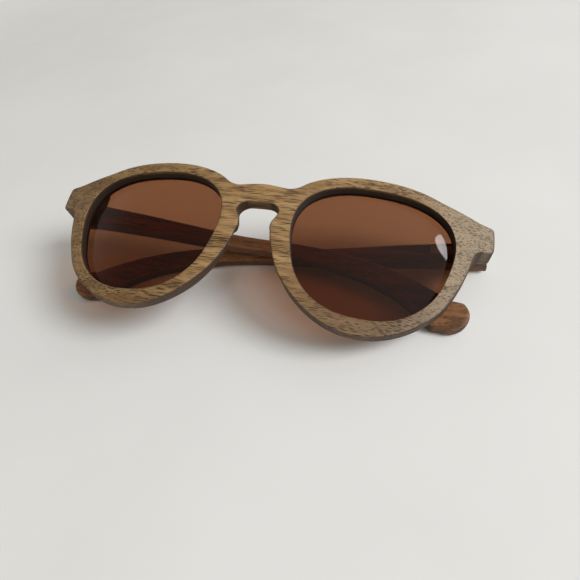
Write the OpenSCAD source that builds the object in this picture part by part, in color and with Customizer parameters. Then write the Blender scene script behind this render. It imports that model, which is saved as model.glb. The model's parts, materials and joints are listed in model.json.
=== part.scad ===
// Folded wooden sunglasses with round panto lenses, a keyhole bridge and spring hinges.
// They lie on a table at z 0, lenses up, resting on both temple tips and one temple's lower edge.
// Left and right are as seen with the lenses towards the viewer and the brow away.

/* [Front] */
lens_width = 49.3; // [48:0.1:51]
lens_height = 44; // [42:0.1:46]
bridge_width = 22.6; // [21:0.1:25]
rim_width = 4.5; // [4:0.1:5]
front_thickness = 4.8; // [4.4:0.1:5.2]
// radius of the bend seen from the brow
front_radius = 222.7; // [200:0.1:260]

/* [Endpieces] */
// from the edge of the lens opening to the end
end_reach = 12.6; // [12:0.1:13.5]
end_height = 9.4; // [9:0.1:10]
end_depth = 7.4; // [7:0.1:8.2]

/* [Lenses] */
lens_thickness = 1.2; // [1:0.1:1.3]
lens_setback = 3.2; // [2.8:0.1:3.2]
groove_depth = 0.8; // [0.5:0.1:1]

/* [Temples] */
// from the hinge pin to the end of the tip
temple_length = 137; // [132:0.5:142]
temple_thickness = 5; // [4.9:0.1:5.4]
// at the hinge
temple_height = 8.7; // [8.3:0.1:9]
tip_thickness = 3.4; // [3:0.1:3.6]
tip_radius = 5.4; // [4.8:0.1:5.8]
// how far the middle of the tip hangs below the hinge
tip_drop = 26.2; // [25:0.1:28]
// how far the tip bends inwards
tip_bend = 10.3; // [9.8:0.1:10.4]

/* [Fold] */
// degrees short of square, the inner temple
fold_left = 1.2; // [1.1:0.1:1.5]
// degrees short of square, the outer temple
fold_right = 6.4; // [6.2:0.1:7]

/* [Hinge] */
knuckle_radius = 1.55; // [1.4:0.05:1.6]
pin_radius = 0.6; // [0.5:0.05:0.7]
rod_radius = 0.55; // [0.45:0.05:0.55]
leaf_thickness = 0.7; // [0.6:0.1:0.9]

/* [Hidden] */
$fn = 48;
slack = 0.05;

half = lens_height / 2;
mid = bridge_width / 2;
lens_x = mid + 0.4935 * lens_width;
end_x = mid + lens_width + end_reach;
end_z = 0.609 * half;
bow = front_radius;

function power(v, e) = sign(v) * pow(abs(v), e);
// depth of the front face at x
function face(x) = bow - sqrt(bow * bow - x * x);

// A round panto shape: an ellipse of power n, wider towards the brow.
function panto(t, c, sx, up, down, n, widen, lean) =
    let (z = power(sin(t), 2 / n) * (sin(t) > 0 ? up : down))
    [c[0] + lean * z + sx * (1 + widen * z / half) * power(cos(t), 2 / n), c[1] + z];
function opening(t, grow) = panto(t, [lens_x, -0.1072 * lens_height], 0.4622 * lens_width + grow,
    0.605 * lens_height + grow, 0.3929 * lens_height + grow, 2.453, 0.282, 0.049);
wide = lens_width + 2 * rim_width;
tall = lens_height + 2 * rim_width;
function outer(t) = panto(t, [lens_x - 0.44, -0.2178 * tall], 0.4226 * wide,
    0.7042 * tall, 0.2929 * tall, 2.191, 0.444, 0.047);

// Outer edge of the right half, from the top of the bridge round to the top of the keyhole.
shoulder = outer(66);
top_end = [end_x - 1.8, end_z + end_height / 2];
low_end = end_z - end_height / 2;
half_edge = concat(
    [[0.44 * mid, 0.82 * half], [0.6 * mid, 0.808 * half], [0.69 * mid, 0.803 * half],
        [0.78 * mid, 0.806 * half]],
    [for (t = [128:-6:68]) outer(t)],
    [for (f = [0, 0.3, 0.55, 0.8]) shoulder + f * (top_end - shoulder) - [0, 0.45 * f * f]],
    [top_end, top_end + [1.1, -0.35], top_end + [1.6, -1.1], [end_x, end_z],
        [end_x - 0.2, low_end + 1.3], [end_x - 0.7, low_end + 0.45], [end_x - 1.5, low_end + 0.05],
        [end_x - 2.6, low_end - 0.05], [end_x - 4, low_end - 0.2], [end_x - 5.3, low_end - 1.1],
        [end_x - 6.3, low_end - 2.6]],
    [for (t = [17:-6:-193]) outer(t)],
    [outer(-198), [0.438 * mid, 0.13 * half], [0.434 * mid, 0.195 * half], [0.46 * mid, 0.24 * half],
        [0.53 * mid, 0.31 * half], [0.575 * mid, 0.37 * half], [0.575 * mid, 0.4 * half],
        [0.545 * mid, 0.44 * half], [0.49 * mid, 0.475 * half], [0.4 * mid, 0.51 * half],
        [0.27 * mid, 0.53 * half]]);
count = len(half_edge);
whole_edge = concat([[0, 0.841 * half]], half_edge, [[0, 0.534 * half]],
    [for (i = [count - 1:-1:0]) [-half_edge[i][0], half_edge[i][1]]]);

// Hinge pin, its distance from the end and from the back of the endpiece alike.
set_in = temple_thickness / 2 + 0.25;
pin_x = end_x - set_in;
back_y = face(end_x - 1.8) + end_depth;
pin_y = back_y + set_in;
pin_z = end_z + 0.45;
face_in = set_in - temple_thickness;
butt = slack - set_in;

// Temple seen from its side: x from the pin towards the tip, y up from the pin.
stretch = temple_length / 138;
slim = temple_height / 8.7;
droop = tip_drop / 26.2;
tip_at = [temple_length - tip_radius, -tip_drop];
function along(p) = [stretch * p[0], p[1] * (p[0] < 60 ? slim : slim + (droop - slim) * (p[0] - 60) / 72)];
top_line = [[butt, 4.15], [6.5, 3.1], [17, 2.15], [26, 1.3], [35, 0.25], [44, -0.75], [52, -1.65],
    [61, -2.65], [71, -3.3], [80, -3.75], [89, -4.9], [97, -6.15], [104, -7.9], [111, -10.25], [119, -13.6],
    [127, -18], [131.5, -21.1]];
low_line = [[127.4, -30.9], [124, -28.1], [120.3, -24.5], [115, -20.6], [108, -16.9], [101, -14.3],
    [94, -12.2], [87, -10.3], [78, -8.85], [68, -8.05], [58, -7.7], [44, -6.85], [28, -5.85],
    [14, -5.2], [butt, -4.55]];
function spline(p, i, t) = let (n = len(p), a = p[max(i - 1, 0)], b = p[i], c = p[i + 1],
    d = p[min(i + 2, n - 1)]) 0.5 * (2 * b + (c - a) * t + (2 * a - 5 * b + 4 * c - d) * t * t
    + (3 * b - a - 3 * c + d) * t * t * t);
function smooth(p) = concat([for (i = [0:len(p) - 2]) for (t = [0, 0.5]) spline(p, i, t)], [p[len(p) - 1]]);
side_edge = concat(smooth([for (p = top_line) along(p)]),
    [for (a = [50:-20:-110]) tip_at + tip_radius * [cos(a), sin(a)]],
    smooth([for (p = low_line) along(p)]));

// Temple seen from above: straight at the hinge, then bent inwards and thinner towards the tip.
bend_from = 45;
function bend(u) = tip_bend * pow(max(u - bend_from, 0) / (temple_length - bend_from), 2);
function thinner(u) = (temple_thickness - tip_thickness) / 2 * max(u, 0) / temple_length;
function face_out(u) = set_in - bend(u) - thinner(u);
function face_back(u) = face_in - bend(u) + thinner(u);
stations = concat([bend_from], [for (i = [1:9]) bend_from + i * (temple_length + 1 - bend_from) / 9]);

// The folded part rests on three points: the outer temple's tip and lower edge, the inner one's tip.
function turned(p, a) = [p[0] * cos(a) - p[1] * sin(a), p[0] * sin(a) + p[1] * cos(a), p[2]];
function left_at(p) = turned(p, fold_left) + [-pin_x, pin_y, pin_z];
function right_at(p) = let (q = turned(p, fold_right)) [pin_x - q[0], q[1] + pin_y, q[2] + pin_z];
far = 0.75 * temple_length;
left_tip = [for (q = side_edge) if (q[0] > far) left_at([q[0], face_out(q[0]), q[1]])];
right_tip = [for (q = side_edge) if (q[0] > far) right_at([q[0], face_out(q[0]), q[1]])];
right_edge = [for (q = side_edge) if (q[0] < far) right_at([q[0], face_out(q[0]), q[1]])];
function unit(v) = v / norm(v);
function lowest(points, up) = let (h = [for (p = points) p * up], m = min(h))
    [for (i = [0:len(h) - 1]) if (h[i] == m) points[i]][0];
function table_up(a, b, c) = let (v = unit(cross(b - a, c - a))) v[1] < 0 ? v : -v;
function settle(up) = let (a = lowest(right_tip, up), b = lowest(left_tip, up),
    n = [for (p = right_edge) table_up(a, b, p)], m = max([for (v = n) v[2]]))
    [for (v = n) if (v[2] == m) v][0];
up_1 = settle(unit([-0.1, -0.94, 0.3]));
up_2 = settle(up_1);
up_3 = settle(up_2);
up = settle(up_3);
to_x = unit([1, 0, 0] - up[0] * up);
to_y = cross(up, to_x);
function lay(p) = [to_x * p, to_y * p, up * p];
reach = [for (p = concat([for (q = whole_edge, d = [0, front_thickness]) [q[0], face(q[0]) + d, q[1]]],
    [for (q = side_edge, v = [face_out(q[0]), face_back(q[0])]) left_at([q[0], v, q[1]])],
    [for (q = side_edge, v = [face_out(q[0]), face_back(q[0])]) right_at([q[0], v, q[1]])])) lay(p)];
shift = -[(min([for (p = reach) p[0]]) + max([for (p = reach) p[0]])) / 2,
    (min([for (p = reach) p[1]]) + max([for (p = reach) p[1]])) / 2, min([for (p = reach) p[2]])];

module on_table() multmatrix([[to_x[0], to_x[1], to_x[2], shift[0]], [to_y[0], to_y[1], to_y[2], shift[1]],
    [up[0], up[1], up[2], shift[2]], [0, 0, 0, 1]]) children();
module sheet(depth) translate([0, depth, 0]) rotate([90, 0, 0]) linear_extrude(depth + 1) children();
module shell(from, to) translate([0, bow, -half - 20]) difference() {
    cylinder(r = bow - from, h = 2 * half + 40, $fn = 400);
    translate([0, 0, -1]) cylinder(r = bow - to, h = 2 * half + 42, $fn = 400);
}
module both() { children(); mirror([1, 0, 0]) children(); }
// places a piece at the left or right hinge, turned with the temple or fixed to the front
module hinge(side, with_temple) mirror([side == "left" ? 0 : 1, 0, 0]) translate([-pin_x, pin_y, pin_z])
    rotate([0, 0, with_temple ? (side == "left" ? fold_left : fold_right) : 0]) children();
module rod(r, from, to) translate([from, rod_v, 0]) rotate([0, 90, 0]) cylinder(r = r, h = to - from);

// hinge sizes, from the pin
stack = 3.4;
eye = 1.12;
recess = leaf_thickness;
leaf_end = 7.2;
rod_v = -0.45;
box_from = 1.75;
box_to = 15.4;
box_in = face_in + 0.15;
box_out = 1.35;
box_half = 1.55;
bore = 1.08;
wall_to = 2.9;
bore_to = 11.2;
nut_from = 8.2;
nut_to = 9.6;
screw_u = 13.4;

module leaf_seat() translate([-knuckle_radius, -set_in - recess, -stack])
    cube([leaf_end + knuckle_radius, recess + 5, 2 * stack]);
module leaf_screw_shape(w) translate([3.6, -set_in, w]) rotate([90, 0, 0]) {
    cylinder(r1 = 1.1, r2 = 0.55, h = 0.55);
    cylinder(r = 0.55, h = 4.2);
}
module box_screw_shape() translate([screw_u, box_in, 0]) rotate([-90, 0, 0]) {
    cylinder(r1 = 1.2, r2 = 0.6, h = 0.6);
    cylinder(r = 0.6, h = 3.9);
}

module front_frame() color("#a07a4c") on_table() difference() {
    union() {
        intersection() {
            sheet(40) difference() {
                polygon(whole_edge);
                both() polygon([for (t = [0:5:355]) opening(t, 0)]);
            }
            shell(0, front_thickness);
        }
        // endpieces, thicker than the rims and flat behind
        both() intersection() {
            sheet(back_y) intersection() {
                polygon(whole_edge);
                translate([end_x - end_reach + 0.4, low_end - 3.2]) square([end_reach, end_height + 8]);
            }
            translate([0, 0, -half]) linear_extrude(2 * half) polygon([[end_x + 1, face(end_x) - 4],
                [end_x + 1, back_y], [end_x - end_reach + 1.4, back_y],
                [end_x - end_reach + 0.4, face(end_x - end_reach) + front_thickness - 0.6],
                [end_x - end_reach + 0.4, face(end_x - end_reach) - 4]]);
            translate([0, bow, -half]) cylinder(r = bow, h = 2 * half, $fn = 400);
        }
    }
    both() intersection() {
        sheet(40) polygon([for (t = [0:5:355]) opening(t, groove_depth + slack)]);
        shell(lens_setback, lens_setback + lens_thickness);
    }
    for (side = ["left", "right"]) hinge(side, false) {
        leaf_seat();
        leaf_screw_shape(1.9);
        leaf_screw_shape(-1.9);
    }
}
module lens(side) color("#5a3420", 0.75) on_table() mirror([side == "left" ? 1 : 0, 0, 0]) intersection() {
    sheet(40) polygon([for (t = [0:5:355]) opening(t, groove_depth)]);
    shell(lens_setback, lens_setback + lens_thickness);
}
module temple(side) color("#7a4f33") on_table() hinge(side, true) difference() {
    intersection() {
        translate([0, 40, 0]) rotate([90, 0, 0]) linear_extrude(80) polygon(side_edge);
        translate([0, 0, -60]) linear_extrude(120) polygon([[butt, set_in], [butt, 0],
            for (a = [190:10:250]) (set_in - 0.1) * [cos(a), sin(a)],
            [-0.4, face_in], for (u = stations) [u, face_back(u)],
            for (i = [len(stations) - 1:-1:0]) [stations[i], face_out(stations[i])], [0, set_in]]);
    }
    // slot for the knuckles, open at the end and at the inner face
    translate([-set_in - 1, face_in - 1, -stack - 0.1])
        cube([set_in + 1 + knuckle_radius + 0.15, knuckle_radius + 0.15 - face_in + 1, 2 * stack + 0.2]);
    translate([0, face_in - 1, -box_half]) cube([box_to, box_out - face_in + 1, 2 * box_half]);
    box_screw_shape();
}
module leaf(side) color("#b8b8b4") on_table() hinge(side, false) difference() {
    union() {
        translate([-knuckle_radius, -set_in - recess, -stack])
            cube([leaf_end + knuckle_radius, recess, 2 * stack]);
        for (w = [-stack, eye + 0.03]) translate([0, 0, w]) {
            cylinder(r = knuckle_radius, h = stack - eye - 0.03);
            translate([-knuckle_radius, -set_in - recess, 0])
                cube([2 * knuckle_radius, set_in + recess, stack - eye - 0.03]);
        }
    }
    pin_shape();
    leaf_screw_shape(1.9);
    leaf_screw_shape(-1.9);
}
module pin_shape() {
    translate([0, 0, -stack]) cylinder(r = pin_radius, h = 2 * stack);
    translate([0, 0, stack - 0.6]) cylinder(r = 2 * pin_radius, h = 0.6);
}
module leaf_screw(side, w) color("#c8c8c4") on_table() hinge(side, false) leaf_screw_shape(w);
module pin(side) color("#c8c8c4") on_table() hinge(side, false) pin_shape();
module plunger(side) color("#b0b0ac") on_table() hinge(side, true) difference() {
    union() {
        translate([0, 0, -eye]) cylinder(r = knuckle_radius, h = 2 * eye);
        rod(rod_radius, 1, nut_to);
    }
    translate([0, 0, -2]) cylinder(r = pin_radius + 0.03, h = 4);
}
// ribbed like the coils of a spring, a little clear of the rod and of the bore
module spring(side) color("#909090") on_table() hinge(side, true) translate([wall_to, rod_v, 0])
    rotate([0, 90, 0]) rotate_extrude() polygon(concat(
        [for (i = [0:10]) [i % 2 == 0 ? 1.03 : 0.85, i * (nut_from - wall_to) / 10]],
        [for (i = [10:-1:0]) [i % 2 == 0 ? 0.78 : 0.6, i * (nut_from - wall_to) / 10]]));
module nut(side) color("#c8c8c4") on_table() hinge(side, true) difference() {
    rod(1, nut_from, nut_to);
    rod(rod_radius, nut_from - 1, nut_to + 1);
}
module box(side) color("#a8a8a4") on_table() hinge(side, true) difference() {
    translate([box_from, box_in, -box_half]) cube([box_to - box_from, box_out - box_in, 2 * box_half]);
    rod(bore, wall_to, bore_to);
    rod(rod_radius + slack, 0, bore_to);
    box_screw_shape();
}
module box_screw(side) color("#c8c8c4") on_table() hinge(side, true) box_screw_shape();

front_frame();
lens("left");  // lens_left
lens("right");  // lens_right
temple("left");  // temple_left
temple("right");  // temple_right
leaf("left");  // leaf_left
leaf("right");  // leaf_right
leaf_screw("left", 1.9);  // leaf_screw_left_a
leaf_screw("left", -1.9);  // leaf_screw_left_b
leaf_screw("right", 1.9);  // leaf_screw_right_a
leaf_screw("right", -1.9);  // leaf_screw_right_b
pin("left");  // pin_left
pin("right");  // pin_right
plunger("left");  // plunger_left
plunger("right");  // plunger_right
spring("left");  // spring_left
spring("right");  // spring_right
nut("left");  // nut_left
nut("right");  // nut_right
box("left");  // box_left
box("right");  // box_right
box_screw("left");  // box_screw_left
box_screw("right");  // box_screw_right
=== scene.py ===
# %% [markdown]
# # Folded wooden sunglasses
# The pair lies folded on a table with its lenses up. The packed CAD model gives every piece its place, and
# this lesson dresses it: rounded wooden edges, curved tinted lenses, coil springs, solid wood grain and
# soft light. All lengths below are millimetres in the wearer's frame until they are put into a mesh.

import json

import bmesh
import bpy
import numpy as np
from mathutils import Matrix, Quaternion, Vector
from mathutils.geometry import delaunay_2d_cdt


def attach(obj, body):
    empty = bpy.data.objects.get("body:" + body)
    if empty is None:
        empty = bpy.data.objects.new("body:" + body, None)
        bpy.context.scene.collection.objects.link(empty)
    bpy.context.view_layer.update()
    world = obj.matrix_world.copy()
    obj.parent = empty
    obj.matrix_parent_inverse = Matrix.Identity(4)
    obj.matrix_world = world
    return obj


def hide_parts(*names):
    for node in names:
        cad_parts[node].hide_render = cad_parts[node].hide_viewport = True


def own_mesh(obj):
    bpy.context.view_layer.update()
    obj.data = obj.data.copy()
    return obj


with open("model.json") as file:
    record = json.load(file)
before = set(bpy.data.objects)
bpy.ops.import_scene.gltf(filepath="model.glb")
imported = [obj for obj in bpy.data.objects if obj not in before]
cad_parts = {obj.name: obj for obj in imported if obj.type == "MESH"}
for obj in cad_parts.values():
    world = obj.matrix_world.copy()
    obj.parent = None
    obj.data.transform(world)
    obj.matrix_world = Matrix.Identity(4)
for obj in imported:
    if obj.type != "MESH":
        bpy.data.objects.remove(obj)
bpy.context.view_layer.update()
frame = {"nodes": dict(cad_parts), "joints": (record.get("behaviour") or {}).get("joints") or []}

# %% [markdown]
# ## The wearer's frame
# A maker draws glasses as they are worn: x across the face, y from the lens back to the ear, z up. The
# part lies tilted on its table, so a pair of hinges is the best ruler there is: the line between the two
# pins is x and the pins themselves are z. Reading both from the joints keeps the scene true to the CAD.

# %% Axes from the hinge pins
MM = 1000
SIDES = {"left": -1, "right": 1}

joints = {joint["name"]: joint for joint in frame["joints"]}
pins = {side: MM * np.array(joints["fold_" + side]["pos_m"]) for side in SIDES}
upward = np.array(joints["fold_left"]["axis"])
pin_gap = np.linalg.norm(pins["right"] - pins["left"])
across = (pins["right"] - pins["left"]) / pin_gap
backward = np.cross(upward, across)
WEARER = np.array([across, backward, upward])
print("wearer's x, y and z on the table", WEARER.round(3).tolist())

# %% Sizes of the front, and the origin between the pins
LENS_WIDTH, LENS_HEIGHT, BRIDGE, RIM = 49.3, 44.0, 22.6, 4.5
FRONT_THICKNESS, BOW = 4.8, 222.7
END_REACH, END_HEIGHT, END_DEPTH, END_CORNER = 12.6, 9.4, 7.4, 1.8
HALF, MID = LENS_HEIGHT / 2, BRIDGE / 2
LENS_X = MID + 0.4935 * LENS_WIDTH
END_X, END_Z = MID + LENS_WIDTH + END_REACH, 0.609 * HALF
TEMPLE_THICKNESS = 5.0
SET_IN = TEMPLE_THICKNESS / 2 + 0.25


def face(x):
    """Depth of the front's face at x: the front is bent round a tall cylinder of radius BOW."""
    return BOW - np.sqrt(BOW**2 - x**2)


PIN_X, PIN_Z = END_X - SET_IN, END_Z + 0.45
BACK_Y = face(END_X - END_CORNER) + END_DEPTH
PIN_Y = BACK_Y + SET_IN
origin = (pins["left"] + pins["right"]) / 2 - PIN_Y * backward - PIN_Z * upward
print("pins apart", pin_gap, "drawn", 2 * PIN_X)


def on_table(points):
    """Points of the wearer's frame, in millimetres, to metres on the table."""
    return (np.asarray(points) @ WEARER + origin) / MM


# %% [markdown]
# ## Camera
# The camera stands where the photograph was taken: close, a little right of the middle, looking down at the
# lenses. It could be placed by eye, but its place was solved from the outline of the front, so it is written
# in the wearer's frame as well.

# %% Camera at the photograph's angle
CAMERA_AT = np.array([38.26, -126.38, -75.53])
VIEW_X = np.array([0.97888, 0.09691, 0.18003])
VIEW_DOWN = np.array([0.12124, 0.43388, -0.89278])
FIELD_PIXELS, FOCAL_PIXELS, SENSOR = 580, 500, 36

camera = bpy.data.objects.new("camera", bpy.data.cameras.new("camera"))
bpy.context.scene.collection.objects.link(camera)
bpy.context.scene.camera = camera
camera.data.sensor_width = SENSOR
camera.data.lens = SENSOR * FOCAL_PIXELS / FIELD_PIXELS
camera.data.clip_start = 0.001
view_axes = np.array([VIEW_X, -VIEW_DOWN, -np.cross(VIEW_X, VIEW_DOWN)]) @ WEARER
camera.matrix_world = Matrix.Translation(on_table(CAMERA_AT)) @ Matrix(view_axes.T.tolist()).to_4x4()
bpy.context.scene.view_settings.view_transform = "Standard"
print("camera", [round(MM * c, 1) for c in camera.location])

# %% [markdown]
# ## Outlines
# The lens openings and the rims round them are panto shapes: ellipses of a power a little over two, wider
# at the brow than at the cheek. The bridge, the keyhole and the endpieces are a few points that a smooth
# curve passes through. A long list of traced points would do too, but formulas stay smooth at any step and
# grow with the sizes. Everything after this is made from these closed loops.

# %% Panto curves for the openings and the rims
OPENING_MIDDLE, OPENING_HALF = (LENS_X, -0.1072 * LENS_HEIGHT), 0.4622 * LENS_WIDTH
OPENING_UP, OPENING_DOWN = 0.605 * LENS_HEIGHT, 0.3929 * LENS_HEIGHT
OPENING_POWER, OPENING_WIDEN, OPENING_LEAN = 2.453, 0.282, 0.049


def power(v, e):
    """Signed power, so that a superellipse keeps its four quarters."""
    return np.sign(v) * np.abs(v) ** e


def panto(degrees, centre, half_width, up, down, n, widen, lean):
    """Ellipse of power n with unlike upper and lower halves, wider and leaning outwards with height."""
    t = np.radians(degrees)
    z = power(np.sin(t), 2 / n) * np.where(np.sin(t) > 0, up, down)
    x = centre[0] + lean * z + half_width * (1 + widen * z / HALF) * power(np.cos(t), 2 / n)
    return np.stack([x, centre[1] + z], -1)


def opening(degrees, grow=0.0):
    """Edge of the right lens opening, grown outwards by grow."""
    return panto(degrees, OPENING_MIDDLE, OPENING_HALF + grow, OPENING_UP + grow, OPENING_DOWN + grow,
                 OPENING_POWER, OPENING_WIDEN, OPENING_LEAN)


def rim(degrees):
    """Outer edge of the right rim."""
    wide, tall = LENS_WIDTH + 2 * RIM, LENS_HEIGHT + 2 * RIM
    return panto(degrees, centre=(LENS_X - 0.44, -0.2178 * tall), half_width=0.4226 * wide,
                 up=0.7042 * tall, down=0.2929 * tall, n=2.191, widen=0.444, lean=0.047)


print("opening from", opening(180).round(1).tolist(), "to", opening(0).round(1).tolist())


# %% Smooth curves and even steps
def smooth(points, per=8, closed=True):
    """Cubic through the points: each piece leaves and arrives along its neighbours' chord."""
    p = np.asarray(points, float)
    q = np.vstack([p[-1:], p, p[:2]]) if closed else np.vstack([p[:1], p, p[-1:]])
    a, b, c, d = (k[:, None, :] for k in (q[:-3], q[1:-2], q[2:-1], q[3:]))
    t = np.linspace(0, 1, per, endpoint=False)[None, :, None]
    square, cube = 2 * a - 5 * b + 4 * c - d, 3 * b - a - 3 * c + d
    curve = 0.5 * (2 * b + (c - a) * t + square * t**2 + cube * t**3)
    curve = curve.reshape(-1, 2)
    return curve if closed else np.vstack([curve, p[-1:]])


def even(loop, step):
    """The closed loop again, with points the same distance apart along it."""
    q = np.vstack([loop, loop[:1]])
    run = np.r_[0, np.cumsum(np.linalg.norm(np.diff(q, axis=0), axis=1))]
    at = np.linspace(0, run[-1], int(round(run[-1] / step)), endpoint=False)
    return np.stack([np.interp(at, run, q[:, 0]), np.interp(at, run, q[:, 1])], -1)


SPACING, MIRROR = 0.5, [-1, 1]
right_opening = even(opening(np.arange(0, 360, 1.0)), SPACING)
left_opening = right_opening * MIRROR
print("openings of", len(right_opening), "points")


# %% Outer edge of the front
def half_edge():
    """Outer edge of the right half, from beside the bridge's top round to beside the keyhole's top."""
    shoulder, top = rim(66), np.array([END_X - END_CORNER, END_Z + END_HEIGHT / 2])
    low = END_Z - END_HEIGHT / 2
    share = np.array([[0], [0.3], [0.55], [0.8]])
    bridge = [[0.44, 0.82], [0.6, 0.808], [0.69, 0.803], [0.78, 0.806]]
    end = [top, top + [1.1, -0.35], top + [1.6, -1.1], [END_X, END_Z], [END_X - 0.2, low + 1.3],
           [END_X - 0.7, low + 0.45], [END_X - 1.5, low + 0.05], [END_X - 2.6, low - 0.05],
           [END_X - 4, low - 0.2], [END_X - 5.3, low - 1.1], [END_X - 6.3, low - 2.6]]
    keyhole = [[0.438, 0.13], [0.434, 0.195], [0.46, 0.24], [0.53, 0.31], [0.575, 0.37], [0.575, 0.4],
               [0.545, 0.44], [0.49, 0.475], [0.4, 0.51], [0.27, 0.53]]
    return np.vstack([np.array(bridge) * [MID, HALF], rim(np.arange(128, 67, -6)),
                      shoulder + share * (top - shoulder) - [[0, 0.45]] * share**2, end,
                      rim(np.arange(17, -194, -6)), [rim(-198)], np.array(keyhole) * [MID, HALF]])


BRIDGE_TOP, KEYHOLE_TOP = [[0, 0.841 * HALF]], [[0, 0.534 * HALF]]
right_edge = half_edge()
outline = even(smooth(np.vstack([BRIDGE_TOP, right_edge, KEYHOLE_TOP, right_edge[::-1] * MIRROR])), SPACING)
print("outline of", len(outline), "points,", 2 * outline[:, 0].max(), "wide")

# %% [markdown]
# ## Boards with rounded edges
# The front and the temples are boards: two faces and a wall, with every edge eased by sandpaper. A Bevel
# modifier trips over edges as short as these, so a quarter round is carried along each loop instead, front
# and back. The faces between the rounds are filled with triangles while they are flat, and then bent into
# depth. They share their border points with the rounds, so nothing can gape.

# %% Rounded walls
ROUND_RINGS, WALL_RINGS = 6, 6
UPRIGHT = (0.0, 0.0)


def outward(loop):
    """Unit normals of a closed loop, pointing out of it: the chord between neighbours, turned square."""
    along = np.roll(loop, -1, 0) - np.roll(loop, 1, 0)
    normal = np.stack([along[:, 1], -along[:, 0]], -1) / np.linalg.norm(along, axis=1)[:, None]
    turn = np.sum(loop[:, 0] * np.roll(loop[:, 1], -1) - np.roll(loop[:, 0], -1) * loop[:, 1])
    return normal * np.sign(turn)


def quarter_round(loop, into, radius, depth, sense):
    """Rings from a face at depth(x, z) to the wall: in by r(1 - sin a), down by r(1 - cos a)."""
    radius = np.broadcast_to(radius, len(loop))[None, :, None]
    angle = np.linspace(0, np.pi / 2, ROUND_RINGS)[:, None, None]
    flat = loop + into * radius * (1 - np.sin(angle))
    x, z = flat[..., 0], flat[..., 1]
    return np.stack([x, depth(x, z) + sense * (radius * (1 - np.cos(angle)))[..., 0], z], -1)


def rounded_wall(loop, radii, near, far, hole=False, lean=UPRIGHT):
    """Rings of (x, depth, z): a quarter round off the near face, the wall, a quarter round to the far one.

    The near and the far edge are shifted from the loop by the two values of lean.
    """
    into = outward(loop) * (1 if hole else -1)
    front = quarter_round(loop + lean[0], into, radii[0], near, 1)
    back = quarter_round(loop + lean[1], into, radii[1], far, -1)[::-1]
    share = np.linspace(0, 1, WALL_RINGS + 2)[1:-1, None, None]
    return np.concatenate([front, front[-1] + share * (back[0] - front[-1]), back])


print("rings in a wall", 2 * ROUND_RINGS + WALL_RINGS)

# %% Filled faces
CLEAR = 0.6  # share of a step that inner points keep off the border
MERGE = 1e-6  # points nearer than this are one


def within(points, loop):
    """True for points inside the loop: a ray from each crosses the loop an odd number of times."""
    x, z = points[:, None, 0], points[:, None, 1]
    x0, z0 = loop[:, 0], loop[:, 1]
    x1, z1 = np.roll(x0, -1), np.roll(z0, -1)
    level = (z0 > z) != (z1 > z)
    rise = np.where(z1 == z0, 1, z1 - z0)
    return np.logical_xor.reduce(level & (x < x0 + (z - z0) * (x1 - x0) / rise), axis=1)


def ring_ids(loops):
    """Numbers of each loop's points when the loops are listed one after the other."""
    ends = np.cumsum([len(loop) for loop in loops])
    return np.split(np.arange(ends[-1]), ends[:-1])


def in_board(points, loops):
    """True for points inside the first loop and outside the holes that the others are."""
    inside = within(points, loops[0])
    for hole in loops[1:]:
        inside &= ~within(points, hole)
    return inside


def fill(loops, extra, step):
    """Inner points on a grid, and triangles between the first loop and the holes that the others are."""
    low, high = loops[0].min(0), loops[0].max(0)
    grid = np.stack(np.meshgrid(np.arange(low[0], high[0], step), np.arange(low[1], high[1], step)), -1)
    grid = np.vstack([grid.reshape(-1, 2), extra])
    rims = np.vstack(loops)
    clear = np.min(np.linalg.norm(grid[:, None] - rims[None, ::2], axis=2), axis=1) > CLEAR * step
    inner = grid[clear & in_board(grid, loops)]
    flat = np.vstack([rims, inner])
    edges = np.vstack([np.stack([ring, np.roll(ring, -1)], -1) for ring in ring_ids(loops)])
    found = delaunay_2d_cdt(flat.tolist(), edges.tolist(), [], 0, MERGE)
    faces = np.array(found[3])[:, 0][np.array(found[2])]
    return inner, faces[in_board(flat[faces].mean(1), loops)]


print("openings lie in the outline:", bool(within(np.vstack([right_opening, left_opening]), outline).all()))


# %% Meshes from rings and faces
def make_mesh(name, points, faces):
    """A smooth shaded object at the origin with its normals turned outwards."""
    mesh = bpy.data.meshes.new(name)
    mesh.from_pydata(points.tolist(), [], faces)
    bm = bmesh.new()
    bm.from_mesh(mesh)
    bmesh.ops.recalc_face_normals(bm, faces=bm.faces)
    bm.to_mesh(mesh)
    bm.free()
    mesh.shade_smooth()
    piece = bpy.data.objects.new(name, mesh)
    bpy.context.scene.collection.objects.link(piece)
    return piece


def strips(levels, ring, stride):
    """Four-sided faces between a ring of points and the same ring one level on, stride points later."""
    after = np.roll(ring, -1)
    row = np.arange(levels - 1)[:, None] * stride
    return np.stack([row + ring, row + after, row + stride + after, row + stride + ring], -1).reshape(-1, 4)


def board(name, loops, radii, near, far, place, step, extra=np.zeros((0, 2)), lean=UPRIGHT):
    """A board between two depths with rounded edges: the first loop is its outline, the rest are holes."""
    walls = [rounded_wall(loop, r, near, far, i > 0, UPRIGHT if i else lean)
             for i, (loop, r) in enumerate(zip(loops, radii))]
    inner, faces = fill([wall[0][:, [0, 2]] for wall in walls], extra, step)
    under_inner, under_faces = fill([wall[-1][:, [0, 2]] for wall in walls], extra, step)
    rings = np.concatenate(walls, axis=1)
    levels, rims = rings.shape[:2]
    (x, z), (ux, uz) = inner.T, under_inner.T
    points = np.vstack([rings.reshape(-1, 3), np.stack([x, near(x, z), z], -1),
                        np.stack([ux, far(ux, uz), uz], -1)])
    sides = np.vstack([strips(levels, ring, rims) for ring in ring_ids(loops)])
    last = (levels - 1) * rims
    top = np.where(faces < rims, faces, faces + last)
    under = under_faces + last + np.where(under_faces < rims, 0, len(inner))
    print(name, "board of", len(points), "points")
    return make_mesh(name, place(points), sides.tolist() + top.tolist() + under.tolist())


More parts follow.
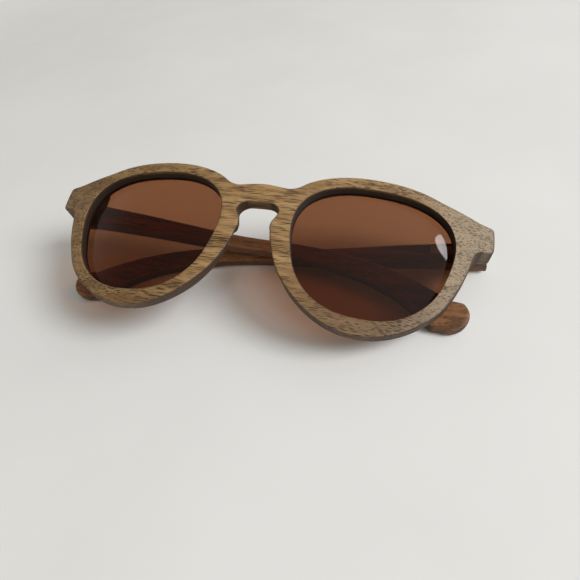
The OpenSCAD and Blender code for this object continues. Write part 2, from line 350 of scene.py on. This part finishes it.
# %% [markdown]
# ## Pockets
# A hinge is let into the wood, so the endpieces and the temples have pockets with crisp corners. To draw the
# wood that is left would break up the boards. Taking wood away is simpler here: boxes are subtracted.

# %% Cutting pockets
CREASE = np.radians(40)
OVERCUT = 2  # a box reaches this far out of the wood, so that no skin is left over a pocket
BOX_SIDES = [(0, 2, 3, 1), (4, 5, 7, 6), (0, 1, 5, 4), (2, 6, 7, 3), (0, 4, 6, 2), (1, 3, 7, 5)]


def cut(piece, boxes, place):
    """Takes boxes, each given by two corners, out of a piece."""
    corner = np.stack(np.unravel_index(np.arange(8), (2, 2, 2))[::-1], -1)
    tools = [make_mesh("tool", place(np.where(corner, high, low)), BOX_SIDES) for low, high in boxes]
    for tool in tools:
        step = piece.modifiers.new("pocket", "BOOLEAN")
        step.operation, step.solver, step.object = "DIFFERENCE", "EXACT", tool
    graph = bpy.context.evaluated_depsgraph_get()
    piece.data = bpy.data.meshes.new_from_object(piece.evaluated_get(graph))
    piece.modifiers.clear()
    for tool in tools:
        bpy.data.objects.remove(tool)
    piece.data.set_sharp_from_angle(angle=CREASE)
    print(piece.name, len(piece.data.polygons), "faces with its pockets")


# %% [markdown]
# ## The front
# One board of wood holds both lenses. It is bent a little round the face, and at each end it is left
# thicker, with a flat back, so that the hinge has something to be screwed to. Its depth is a formula, which
# bends the flat outline without a deforming modifier. Beside the nose its wall isn't square: the front edge
# leans towards the nose, and behind the keyhole's waist the wood is cut back.

# %% Depths of the front
END_STEP, END_FOOT, FOOT_SLOPE = (0.4, 1.4), 3.2, 0.3


def ramp(v, low, high):
    """0 below low, 1 above high and a straight rise between."""
    return np.clip((v - low) / (high - low), 0, 1)


def soft_step(v, low, high):
    """The same rise with soft ends: three times its square less twice its cube."""
    rise = ramp(v, low, high)
    return rise**2 * (3 - 2 * rise)


def front_near(x, z):
    """Face of the front, the same at every height."""
    return face(x)


def front_far(x, z):
    """Back of the front: one thickness behind its face, or the flat back of the endpiece."""
    start, foot = END_X - END_REACH, END_Z - END_HEIGHT / 2 - END_FOOT
    end = ramp(np.abs(x), start + END_STEP[0], start + END_STEP[1])
    end = end * ramp(z, foot - FOOT_SLOPE, foot + FOOT_SLOPE)
    return (1 - end) * (face(x) + FRONT_THICKNESS) + end * BACK_Y


STEP_ROWS = 40
step_x = np.repeat(END_X - END_REACH + np.linspace(*END_STEP, 3), STEP_ROWS)
step_z = np.tile(np.linspace(5, 21, STEP_ROWS), 3)
step_line = np.vstack([np.stack([step_x, step_z], -1), np.stack([-step_x, step_z], -1)])
print("endpiece stands", BACK_Y - face(END_X) - FRONT_THICKNESS, "behind the rim")

# %% Edges of the front
EDGE_ROUND, RIM_SANDING, OPENING_ROUNDS = 0.5, 0.9, (0.35, 0.5)
SANDED_FROM, SANDED_TO = (8, 12), (57, 60)  # reaches across the face between which the rims are sanded
NOSE_REACH, CUT_BACK = (19, 16), 1.1
FORWARD_FROM, FORWARD_TO = (-18, -8), (3.4, 0.8)  # heights between which an edge starts and stops leaning
CUT_FROM, CUT_TO = (-9, 1), (8.5, 3)

reach, level = np.abs(outline[:, 0]), outline[:, 1]
sanded = EDGE_ROUND + RIM_SANDING * (1 - ramp(reach, *SANDED_TO)) * ramp(reach, *SANDED_FROM)
beside_nose = soft_step(reach, *NOSE_REACH) * np.sign(outline[:, 0])
forward = -soft_step(level, *FORWARD_FROM) * soft_step(level, *FORWARD_TO) * beside_nose
cut_back = CUT_BACK * soft_step(level, *CUT_FROM) * soft_step(level, *CUT_TO) * beside_nose
nose_lean = [np.stack([shift, 0 * shift], -1) for shift in (forward, cut_back)]
print("sanded by", sanded.min(), "to", sanded.max(), "leaning by up to", np.abs(forward).max())

# %% Front with two openings and two pockets
KNUCKLE_STACK, KNUCKLE_RADIUS, LEAF_END, LEAF_DEPTH = 3.4, 1.55, 7.2, 0.7  # the stack is half its height

front = board("front", [outline, right_opening, left_opening],
              [(EDGE_ROUND, sanded), OPENING_ROUNDS, OPENING_ROUNDS],
              front_near, front_far, on_table, step=0.9, extra=step_line, lean=nose_lean)
leaf_box = np.array([[PIN_X - LEAF_END, BACK_Y - LEAF_DEPTH, PIN_Z - KNUCKLE_STACK],
                     [PIN_X + KNUCKLE_RADIUS, BACK_Y + OVERCUT, PIN_Z + KNUCKLE_STACK]])
mirrored_box = np.array([[-leaf_box[1, 0], *leaf_box[0, 1:]], [-leaf_box[0, 0], *leaf_box[1, 1:]]])
cut(front, [leaf_box, mirrored_box], on_table)
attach(front, "front")
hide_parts("front_frame")

# %% [markdown]
# ## Painted shade in the openings
# The walls of the openings are painted dark deep in, where the lens sits in its groove: painted shade. A
# second material would end in a hard line, so the shade is a number on every point of the front, which
# fades out towards the face.

# %% Painted shade inside the openings
GROOVE_SHADE_DEPTH, GROOVE_SHADE_EDGE = (0.8, 1.5), (1.03, 1.05)


def in_wearer(piece):
    """Points of a piece in the wearer's frame, in millimetres."""
    flat = np.empty(3 * len(piece.data.vertices))
    piece.data.vertices.foreach_get("co", flat)
    return (MM * flat.reshape(-1, 3) - origin) @ WEARER.T


def scorch(points):
    """Share of painted shade, 1 deep in an opening's wall and 0 elsewhere: near the superellipse, where its
    powers add up to one.
    """
    x, y, z = np.abs(points[:, 0]), points[:, 1], points[:, 2] - OPENING_MIDDLE[1]
    tall = np.where(z > 0, OPENING_UP, OPENING_DOWN)
    wide = OPENING_HALF * (1 + OPENING_WIDEN * z / HALF)
    over, up = np.abs((x - LENS_X - OPENING_LEAN * z) / wide), np.abs(z / tall)
    level = over**OPENING_POWER + up**OPENING_POWER
    return ramp(y - face(x), *GROOVE_SHADE_DEPTH) * (1 - ramp(level, *GROOVE_SHADE_EDGE))


# painted shade of the lens grooves, for every point of the front
groove_shading = scorch(in_wearer(front))
front.data.attributes.new("scorch", "FLOAT", "POINT").data.foreach_set("value", groove_shading.astype(np.float32))
print("scorched points", int((groove_shading > 0.5).sum()), "of", len(groove_shading))

# %% [markdown]
# ## The lenses
# Each lens is a thin shell on the same bend as the front, held in a groove all round. A disc cut from a
# sphere would have a ragged edge. On a polar grid from its middle to its edge, front and back, the lens ends
# on the opening's own curve, and its surface has no facets to break a reflection.

# %% Two curved lenses
LENS_SETBACK, LENS_THICKNESS, IN_GROOVE = 3.2, 1.2, 0.5
LENS_RINGS, LENS_HUB = 22, 0.0004


def lens(side):
    """Shell on a grid of angle and radius: front from the middle to the edge, then back to the middle."""
    edge = opening(np.arange(0, 360, 2.0), IN_GROOVE)
    share = np.sqrt(np.linspace(LENS_HUB, 1, LENS_RINGS))[:, None, None]
    flat = edge.mean(0) + share * (edge - edge.mean(0))
    x, z = flat[..., 0], flat[..., 1]
    near = np.stack([SIDES[side] * x, face(x) + LENS_SETBACK, z], -1)
    far = near[::-1] + [0, LENS_THICKNESS, 0]
    rings = np.concatenate([near, far])
    ring, levels = np.arange(len(edge)), len(rings)
    ends = np.stack([ring, ring + (levels - 1) * len(edge)])
    faces = strips(levels, ring, len(edge)).tolist() + ends.tolist()
    piece = make_mesh("lens_glass_" + side, on_table(rings.reshape(-1, 3)), faces)
    piece.data.set_sharp_from_angle(angle=CREASE)
    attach(piece, "front")
    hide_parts("lens_" + side)
    return piece


lenses = [lens(side) for side in SIDES]
print("lens faces", len(lenses[0].data.polygons))

# %% [markdown]
# ## The temples
# A temple is a strip of wood seen from its side: straight at the hinge, slimmest halfway along, drooping
# behind the ear to a round tip. Seen from above it bends inwards and gets thinner. A Curve modifier could
# bend it, but its two faces are simply depths that depend on the distance from the pin, so its side outline
# is a loop and the same board function serves again.

# %% Side outline of a temple
TEMPLE_LENGTH, DRAWN_LENGTH, TIP_RADIUS, TIP_DROP = 137.0, 138, 5.4, 26.2
BUTT, FACE_IN = 0.05 - SET_IN, SET_IN - TEMPLE_THICKNESS
TOP_LINE = np.array([[BUTT, 4.15], [6.5, 3.1], [17, 2.15], [26, 1.3], [35, 0.25], [44, -0.75], [52, -1.65],
                     [61, -2.65], [71, -3.3], [80, -3.75], [89, -4.9], [97, -6.15], [104, -7.9],
                     [111, -10.25], [119, -13.6], [127, -18], [131.5, -21.1]])
LOW_LINE = np.array([[127.4, -30.9], [124, -28.1], [120.3, -24.5], [115, -20.6], [108, -16.9],
                     [101, -14.3], [94, -12.2], [87, -10.3], [78, -8.85], [68, -8.05], [58, -7.7],
                     [44, -6.85], [28, -5.85], [14, -5.2], [BUTT, -4.55]])


def temple_loop():
    """Top line, round tip and lower line, as one closed loop of even steps."""
    stretch = [TEMPLE_LENGTH / DRAWN_LENGTH, 1]
    round_tip = np.radians(np.arange(50, -111, -5.0))
    tip = np.array([TEMPLE_LENGTH - TIP_RADIUS, -TIP_DROP])
    tip = tip + TIP_RADIUS * np.stack([np.cos(round_tip), np.sin(round_tip)], -1)
    top, low = smooth(TOP_LINE * stretch, closed=False), smooth(LOW_LINE * stretch, closed=False)
    return even(np.vstack([top, tip, low]), SPACING)


side_outline = temple_loop()
print("temple outline of", len(side_outline), "points,", side_outline[:, 0].max(), "long")

# %% Inner and outer face of a temple
TIP_THICKNESS, TIP_BEND, BEND_FROM, TURNING_ROOM = 3.4, 10.3, 45.0, 0.1


def sway(u):
    """How far the temple has bent inwards at u: a parabola from BEND_FROM to the tip."""
    return TIP_BEND * (np.maximum(u - BEND_FROM, 0) / (TEMPLE_LENGTH - BEND_FROM)) ** 2


def thinner(u):
    """How much each face has come in at u: in proportion to the distance from the pin."""
    return (TEMPLE_THICKNESS - TIP_THICKNESS) / 2 * np.maximum(u, 0) / TEMPLE_LENGTH


def temple_far(u, w):
    """Outer face of the temple."""
    return SET_IN - sway(u) - thinner(u)


def temple_near(u, w):
    """Inner face, rounded off at the butt so that it can turn past the endpiece."""
    turning = -np.sqrt(np.maximum((SET_IN - TURNING_ROOM) ** 2 - np.minimum(u, 0) ** 2, 0))
    return np.maximum(FACE_IN - sway(u) + thinner(u), np.where(u < 0, turning, -np.inf))


tip_faces = temple_near(TEMPLE_LENGTH, 0), temple_far(TEMPLE_LENGTH, 0)
print("faces at the tip", *tip_faces)

# %% Two temples at their fold angles
BOX_TO, BOX_OUT, BOX_HALF, ROOM = 15.4, 1.35, 1.55, 0.15
BUTT_ROUND, MORE_ROUND, ROUNDER = 0.3, 0.55, (2, 12)


def grain_axes(side):
    """Directions along a temple, square to it and up its pin, from the joint that it slides on."""
    along = np.array(joints["flex_" + side]["axis"])
    return np.array([along, np.cross(upward, along), upward])


def temple_axes(side):
    """The same directions, with the second turned to point outwards on both sides."""
    return grain_axes(side) * [[1], [-SIDES[side]], [1]]


def from_pin(side):
    """Turns millimetres along the temple, outwards and up from its pin into metres on the table."""
    return lambda points: (points @ temple_axes(side) + pins[side]) / MM


def temple(side):
    """A board between its two faces, with a slot for the knuckles and a seat for the spring box."""
    ease = BUTT_ROUND + MORE_ROUND * ramp(side_outline[:, 0], *ROUNDER)
    piece = board("temple_wood_" + side, [side_outline], [(ease, ease)], temple_near, temple_far,
                  from_pin(side), step=1.3)
    slot_high, slot_out = KNUCKLE_STACK + 0.1, KNUCKLE_RADIUS + ROOM
    slot = np.array([[BUTT - OVERCUT, FACE_IN - OVERCUT, -slot_high], [slot_out, slot_out, slot_high]])
    seat = np.array([[0, FACE_IN - OVERCUT, -BOX_HALF], [BOX_TO, BOX_OUT, BOX_HALF]])
    cut(piece, [slot, seat], from_pin(side))
    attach(piece, "arm_" + side)
    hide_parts("temple_" + side)
    return piece


temples = {side: temple(side) for side in SIDES}

# %% [markdown]
# ## The springs
# A temple that is pushed past fully open pulls on a rod, and a coil spring on that rod pulls it back. A
# Screw modifier can wind a wire, but a tube along a helix is one formula and closes at both ends. The spring
# moves with the hinge's slider.

# %% A coil spring on each rod
ROD_IN, SPRING_FROM, SPRING_TO, TRAVEL = 0.45, 2.92, 8.18, 1.2
COIL_RADIUS, WIRE_RADIUS, TURNS = 0.815, 0.19, 6


def coil(rings_in_turn=24, sides=10):
    """Tube along a helix: a centre that goes round and climbs, and a ring of points square to the wire."""
    turn = np.linspace(0, 2 * np.pi * TURNS, TURNS * rings_in_turn + 1)[:, None]
    ring = np.linspace(0, 2 * np.pi, sides, endpoint=False)
    run = SPRING_TO - SPRING_FROM - 2 * WIRE_RADIUS
    lean = np.arctan(run / (2 * np.pi * TURNS * COIL_RADIUS))
    out, side = COIL_RADIUS + WIRE_RADIUS * np.cos(ring), WIRE_RADIUS * np.sin(ring)
    points = np.stack([SPRING_FROM + WIRE_RADIUS + run * turn / turn[-1] + side * np.cos(lean),
                       out * np.cos(turn) + side * np.sin(lean) * np.sin(turn) - ROD_IN,
                       out * np.sin(turn) - side * np.sin(lean) * np.cos(turn)], -1)
    first, last = np.arange(sides), np.arange(sides) + (len(turn) - 1) * sides
    tube = strips(len(turn), first, sides)
    return points.reshape(-1, 3), tube.tolist() + [first.tolist(), last.tolist()]


def spring(side):
    """A coil on the rod of one hinge, carried by its slider."""
    place = from_pin(side)
    points, faces = coil()
    piece = make_mesh("coil_spring_" + side, place(points), faces)
    nut_end = place(np.array([SPRING_TO, -ROD_IN, 0]))
    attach(piece, "slider_" + side)
    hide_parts("spring_" + side)
    temple_axes(side)[0]
    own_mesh(piece)
    return piece


springs = [spring(side) for side in SIDES]
print("springs", TURNS, "turns of", 2 * WIRE_RADIUS, "mm wire")

# %% [markdown]
# ## Shader sums
# A shader is arithmetic on patterns, and arithmetic reads best as arithmetic. This small class wraps a
# socket, so that `1 - mask` or `a * 0.3 + b` adds the Math nodes by itself, and any other node is one call.


# %% A socket that can be added and multiplied
class Wire:
    """An output socket of a node tree, with operators that add nodes to the tree."""

    def __init__(self, tree, socket):
        self.tree, self.socket = tree, socket

    def node(self, kind, settings=None, values=None, out=0):
        """A node of this kind with its settings, then its inputs' values or wires; gives one output."""
        made = self.tree.nodes.new(kind)
        for key, value in (settings or {}).items():
            setattr(made, key, value)
        for key, value in (values or {}).items():
            if isinstance(value, Wire):
                self.tree.links.new(value.socket, made.inputs[key])
            else:
                made.inputs[key].default_value = value
        return Wire(self.tree, made.outputs[out])

    def sum(self, operation, a, b):
        """A Math node of this operation on two wires or numbers."""
        return self.node("ShaderNodeMath", {"operation": operation}, {0: a, 1: b})

    def __add__(self, other):
        return self.sum("ADD", self, other)

    def __sub__(self, other):
        return self.sum("SUBTRACT", self, other)

    def __rsub__(self, other):
        return self.sum("SUBTRACT", other, self)

    def __mul__(self, other):
        return self.sum("MULTIPLY", self, other)

    def __pow__(self, other):
        return self.sum("POWER", self, other)

    def __abs__(self):
        return self.sum("ABSOLUTE", self, 0)

    __radd__, __rmul__ = __add__, __mul__

    def between(self, low, high):
        """0 at low, 1 at high, with soft ends."""
        settings = {"interpolation_type": "SMOOTHSTEP"}
        return self.node("ShaderNodeMapRange", settings, {0: self, 1: low, 2: high})

    def mix(self, a, b):
        """Colour a where this is 0 and colour b where it is 1."""
        return self.node("ShaderNodeMix", {"data_type": "RGBA"}, {0: self, 6: a, 7: b}, 2)

    def vector(self, operation, *others, out=0):
        """A Vector Math node of this operation on this wire and the others."""
        values = dict(enumerate((self, *others)))
        return self.node("ShaderNodeVectorMath", {"operation": operation}, values, out)

    def along(self, direction):
        """How far this wire's vector reaches in a direction: their dot product."""
        return self.vector("DOT_PRODUCT", tuple(direction), out="Value")

    def noise(self, scale, detail=3.0, rough=0.55):
        """Noise at this wire's points, after a different scale along each axis."""
        values = {"Vector": self.vector("MULTIPLY", scale), "Scale": 1.0}
        return self.node("ShaderNodeTexNoise", None, {**values, "Detail": detail, "Roughness": rough})

    def cells(self, scale):
        """Distance to the nearest of scattered points, after a different scale along each axis."""
        values = {"Vector": self.vector("MULTIPLY", scale), "Scale": 1.0}
        return self.node("ShaderNodeTexVoronoi", None, values)


print("a wire can", [name for name in vars(Wire) if not name.startswith("_")])


# %% Colours, and materials from empty to shown
IN_MM = (MM, MM, MM)


def colour(red, green, blue):
    """A colour given as it looks on a screen, 0 to 255, as the linear values that a shader takes."""
    c = np.array([red, green, blue]) / 255
    linear = np.where(c <= 0.04045, c / 12.92, ((c + 0.055) / 1.055) ** 2.4)
    return (*linear.tolist(), 1.0)


def new_material(name):
    """An empty material and a wire on its Object coordinates."""
    material = bpy.data.materials.new(name)
    material.use_nodes = True
    material.node_tree.nodes.clear()
    coords = material.node_tree.nodes.new("ShaderNodeTexCoord")
    return material, Wire(material.node_tree, coords.outputs["Object"])


def show(wire):
    """Connects a shader to the material's output."""
    out = wire.tree.nodes.new("ShaderNodeOutputMaterial")
    wire.tree.links.new(wire.socket, out.inputs["Surface"])


def dress(piece, material):
    """Gives a piece this material alone."""
    piece.data.materials.clear()
    piece.data.materials.append(material)


print("middle grey is", colour(128, 128, 128)[0])

# %% [markdown]
# ## Wood
# The grain runs along the board, through its whole thickness, so it is a pattern in space rather than a
# picture on the surface. Where a face follows the grain the open pores show as long dashes; where the bend
# or an edge cuts across it they shrink to specks, and that comes out by itself. The points are turned into
# the board's own axes and into millimetres first. End grain drinks more oil and is darker; the walls and the
# bent ends of the face are darkened as well, which is painted shade. One end of the front is painted greyer
# with softer pores, a painted sheen of the window's light.


# %% The direction that wood faces, for its end grain and its painted shade
def keep_facing(piece):
    """Stores the direction that each corner of a piece faces, so that its wood can tell end grain and walls.
    """
    flat = np.empty(3 * len(piece.data.loops), np.float32)
    piece.data.corner_normals.foreach_get("vector", flat)
    piece.data.attributes.new("facing", "FLOAT_VECTOR", "CORNER").data.foreach_set("vector", flat)


for piece in (front, *temples.values()):
    keep_facing(piece)
    print(piece.name, "keeps", len(piece.data.loops), "directions")

# %% Open pores
LONG_PORES, FINE_PORES = (0.085, 2.45, 2.45), (0.22, 3.7, 3.7)


def pore_mask(point, wall, pores):
    """1 in a pore, which is what lies within a gap of the scattered points; the gap drifts a little."""
    gap = point.noise((0.05, 0.22, 0.22), 2.0).between(0.3, 0.66) * 0.12 + wall * 0.03 + pores
    long_pores = 1 - (point.cells(LONG_PORES) - gap).between(-0.05, 0.06)
    fine_pores = 1 - (point.cells(FINE_PORES) - gap * 0.85).between(-0.05, 0.08)
    return long_pores + (1 - long_pores) * fine_pores * 0.6


print("pores about", round(1 / LONG_PORES[0]), "and", round(1 / FINE_PORES[0]), "mm apart along the grain")

# %% Solid wood
# the second colour here is a painted sheen: the window's grey glare on one end of the front
FOOT_BROWN, PAINTED_SHEEN_GREY = colour(80, 56, 32), colour(196, 184, 160)
# the first colour here is the darker oil of end grain and painted shade on walls; the second is painted
# shade deep in the lens grooves
END_GRAIN_AND_WALL_SHADE, GROOVE_SHADE_COLOUR = colour(60, 40, 20), colour(28, 18, 12)


def wood(name, axes, start, pale, deep, pore, pores, foot, sheen_span):
    """Bands of pale and deep wood, fine fibres, two layers of stretched pores and any painted shade of a
    lens groove.

    The wood is darker where its surface turns across the grain: partly the real oil of end grain, partly
    painted shade on walls and on the bent ends of the face. It is also darker from foot[0] to foot[1] below
    the middle. From the first to the second value of the last argument along the grain, a painted sheen
    turns it greyer, with softer pores.
    """
    material, at = new_material(name)
    point = at.node("ShaderNodeMapping", None, {
        "Vector": at, "Location": tuple(-axes @ start), "Rotation": Matrix(axes.tolist()).to_euler(),
        "Scale": IN_MM})
    facing = at.node("ShaderNodeAttribute", {"attribute_name": "facing"}, None, "Vector")
    # darker where the surface faces along the grain or away from the face: end grain's oil, and painted
    # shade on walls and bent face ends
    end_grain_and_shade = at.sum("MINIMUM", abs(facing.along(axes[0])) * 1.2, 0.75)
    wall = 1 - abs(facing.along(axes[1]))
    low = point.along((0.15, 0, -1)).between(*foot)
    # painted sheen: a share of grey towards one end along the grain, standing in for the window's glare
    sheen_share = at.node("ShaderNodeSeparateXYZ", None, {0: point}).between(*sheen_span)
    bent = point.noise((0.035, 0.05, 0.05), 2.0).vector("MULTIPLY_ADD", (0, 1.1, 1.1), point)
    bands = bent.noise((0.022, 0.42, 0.42), 4.0, 0.6).between(0.32, 0.7)
    fibres = bent.noise((0.16, 5.0, 5.0), 3.0, 0.6)
    open_pores = pore_mask(bent, wall, pores)
    tone = (bands * 0.75 + fibres * 0.5 + low * 0.4).between(0.15, 1.05)
    before_sheen = (low * 0.4).mix(tone.mix(pale, deep), FOOT_BROWN)
    with_sheen = (sheen_share * 0.5).mix(before_sheen, PAINTED_SHEEN_GREY)
    plain = (end_grain_and_shade + wall * 0.55).mix(with_sheen, END_GRAIN_AND_WALL_SHADE)
    # under the painted sheen the pores are painted softer as well
    clean = (open_pores * (0.95 - sheen_share * 0.3)).mix(plain, pore)
    # painted shade deep in the lens grooves, read from the front's points
    groove_shade_share = at.node("ShaderNodeAttribute", {"attribute_name": "scorch"}, None, "Fac")
    tint = (groove_shade_share * 0.9).mix(clean, GROOVE_SHADE_COLOUR)
    height = fibres * 0.35 - open_pores
    bump = at.node("ShaderNodeBump", None, {"Strength": 0.3, "Distance": 0.0002, "Height": height})
    show(at.node("ShaderNodeBsdfPrincipled", None, {
        "Base Color": tint, "Roughness": open_pores * 0.2 + fibres * 0.16 + 0.48, "Normal": bump,
        "Specular IOR Level": 0.5}))
    print(name, "of", len(material.node_tree.nodes), "nodes")
    return material


# %% Tan wood on the front, redder wood on the temples
dress(front, wood("oiled_tan_wood", WEARER, origin, pale=colour(175, 139, 90), deep=colour(137, 102, 58),
                  pore=colour(54, 35, 15), pores=0.27, foot=(8, 30), sheen_span=(42, 70)))
for side, piece in temples.items():
    dress(piece, wood("oiled_red_wood_" + side, grain_axes(side), pins[side],
                      pale=colour(162, 110, 66), deep=colour(108, 69, 38),
                      pore=colour(50, 30, 15), pores=0.19, foot=(60, 70), sheen_span=(300, 310)))
print("wood on", front.name, [piece.name for piece in temples.values()])

# %% [markdown]
# ## Brown glass
# A tinted lens lets a share of each colour through and mirrors a little of the room. A Glass shader bends
# light and would leave the table below dark. This lens is too thin to bend it, so a Transparent shader lets
# coloured light reach the table. Light crosses two faces, so each face takes the root of the tint, and the
# share that is mirrored grows towards a grazing view.

# %% Tinted lens
TINT = np.array([0.285, 0.113, 0.05])
HEAD_ON = 0.04


def brown_glass():
    """A mirror over a tinted window: the mirrored share is 4 % head on and rises by the fifth power."""
    material, at = new_material("brown_glass")
    grazing = at.node("ShaderNodeLayerWeight", None, {"Blend": 0.5}, 1)
    mirrored_share = grazing**5 * (1 - HEAD_ON) + HEAD_ON
    through = at.node("ShaderNodeBsdfTransparent", None, {"Color": (*np.sqrt(TINT).tolist(), 1)})
    mirror = at.node("ShaderNodeBsdfGlossy", None, {"Color": (1, 1, 1, 1), "Roughness": 0.02})
    show(at.node("ShaderNodeMixShader", None, {0: mirrored_share, 1: through, 2: mirror}))
    return material


glass = brown_glass()
for piece in lenses:
    dress(piece, glass)
print("a lens lets through", TINT.tolist())

# %% [markdown]
# ## Hinge steel
# Apart from its spring a hinge keeps its CAD shapes: a leaf screwed to the endpiece, a plunger in its box
# and a pin through both. Their shapes are right already, so they only get a material: satin steel with the
# fine lines that a drawn strip has.


# %% Satin steel for the hinges
def satin_steel():
    """Metal with slow stains in its colour and fine lines in its roughness and height."""
    material, at = new_material("satin_steel")
    point = at.node("ShaderNodeMapping", None, {"Vector": at, "Scale": IN_MM})
    lines = point.noise((0.5, 9.0, 9.0), 3.0)
    stain = point.noise((0.6, 0.6, 0.6), 3.0).between(0.35, 0.7)
    tint = stain.mix((0.60, 0.59, 0.57, 1), (0.50, 0.48, 0.45, 1))
    bump = at.node("ShaderNodeBump", None, {"Strength": 0.2, "Distance": 0.00005, "Height": lines})
    show(at.node("ShaderNodeBsdfPrincipled", None, {
        "Base Color": tint, "Metallic": 1.0, "Roughness": lines * 0.2 + 0.26, "Normal": bump}))
    return material


steel = satin_steel()
hinge_pieces = [n for n in frame["nodes"].values() if not n.hide_render] + springs
for piece in hinge_pieces:
    dress(piece, steel)
print("steel on", len(hinge_pieces), "hinge pieces")

# %% [markdown]
# ## Table and light
# The glasses lie on plain white cloth, lit by a window on the right and by the pale room. Far away the cloth
# fades into a plain backdrop, which is also what mirrors and glass show, while the cloth nearby keeps its
# shadows. The room is darker overhead, which keeps the lenses, that face the ceiling, from turning milky.

# %% Floor that fades into the backdrop
BACKDROP, FADE = (0.7, 0.685, 0.65, 1), (0.25, 0.75)
FLOOR_HALF = 9


def seen(wire):
    """1 for rays that come from the camera, off a mirror or through glass: the larger of the three."""
    kinds = ("Is Camera Ray", "Is Glossy Ray", "Is Transmission Ray")
    straight, mirrored, through = (wire.node("ShaderNodeLightPath", None, None, kind) for kind in kinds)
    return wire.sum("MAXIMUM", straight, wire.sum("MAXIMUM", mirrored, through))


def white_cloth():
    """Cloth with soft patches nearby, and the backdrop's own glow where it has faded out of sight."""
    material, at = new_material("white_cloth")
    point = at.node("ShaderNodeMapping", None, {"Vector": at, "Scale": IN_MM})
    soft = point.noise((0.012, 0.012, 0.012), 3.0).between(0.25, 0.75)
    near_cloth = at.node("ShaderNodeBsdfPrincipled", None, {
        "Base Color": soft.mix((0.8, 0.783, 0.745, 1), (0.84, 0.823, 0.785, 1)), "Roughness": 0.9,
        "Specular IOR Level": 0.1})
    far_off = at.vector("LENGTH", out="Value").between(*FADE)
    far_cloth = at.node("ShaderNodeEmission", None, {"Color": BACKDROP, "Strength": 1.0})
    show(at.node("ShaderNodeMixShader", None, {0: far_off * seen(at), 1: near_cloth, 2: far_cloth}))
    return material


corners = FLOOR_HALF * np.array([[-1, -1, 0], [1, -1, 0], [1, 1, 0], [-1, 1, 0]], float)
floor = make_mesh("floor", corners, [(0, 1, 2, 3)])
dress(floor, white_cloth())
print("floor fades from", FADE[0], "to", FADE[1], "m")

# %% Lamps
LAMP_AWAY = 2
WARM_WHITE, DAYLIGHT = (1.0, 0.99, 0.97), (0.96, 1.0, 1.05)


def soft_lamp(name, toward, size, power_watts, tint, roll=0.0):
    """An oval lamp LAMP_AWAY metres off that faces the table: size in metres, roll in degrees."""
    lamp = bpy.data.objects.new(name, bpy.data.lights.new(name, "AREA"))
    bpy.context.scene.collection.objects.link(lamp)
    lamp.data.shape, lamp.data.size, lamp.data.size_y = "ELLIPSE", *size
    lamp.data.energy, lamp.data.color = power_watts, tint
    aim = Vector(toward).normalized()
    lamp.location = LAMP_AWAY * aim
    lamp.rotation_mode = "QUATERNION"
    lamp.rotation_quaternion = Quaternion(aim, np.radians(roll)) @ (-aim).to_track_quat("-Z", "Y")
    print("lamp", name, power_watts, "W")


soft_lamp("overhead", (0.40, -0.37, 0.84), (1.2, 1.2), 7, WARM_WHITE)
soft_lamp("window", (0.75, -0.15, 0.64), (0.9, 0.9), 30, DAYLIGHT)
soft_lamp("window_gap", (0.679, 0.273, 0.681), (0.5, 0.11), 1, DAYLIGHT, -114)

# %% Pale room, brighter on the right and darker overhead
RIGHTWARD, DIM, PALE = (0.8, 0.6, 0), (0.13, 0.126, 0.118, 1), (1.0, 0.96, 0.9, 1)

world = bpy.data.worlds.new("room")
bpy.context.scene.world = world
world.use_nodes = True
world.node_tree.nodes.clear()
direction = world.node_tree.nodes.new("ShaderNodeTexCoord")
sky = Wire(world.node_tree, direction.outputs["Generated"])
rightward = sky.along(RIGHTWARD)
height = sky.node("ShaderNodeSeparateXYZ", None, {0: sky}, "Z")
low_sky = (1 - height.between(0.25, 0.6)) * (rightward.between(-0.7, 0.3) * 0.9 + 0.1)
bright = rightward.between(-0.25, 0.9) * 0.35 + low_sky * 0.7
ceiling = height.between(0.4, 0.75)
backdrop = (seen(sky) * (1 - ceiling)).mix(bright.mix(DIM, PALE), BACKDROP)
lit = sky.node("ShaderNodeBackground", None, {"Color": backdrop, "Strength": 1.0})
ground = world.node_tree.nodes.new("ShaderNodeOutputWorld")
world.node_tree.links.new(lit.socket, ground.inputs["Surface"])
print("room of", len(world.node_tree.nodes), "nodes")

# %% [markdown]
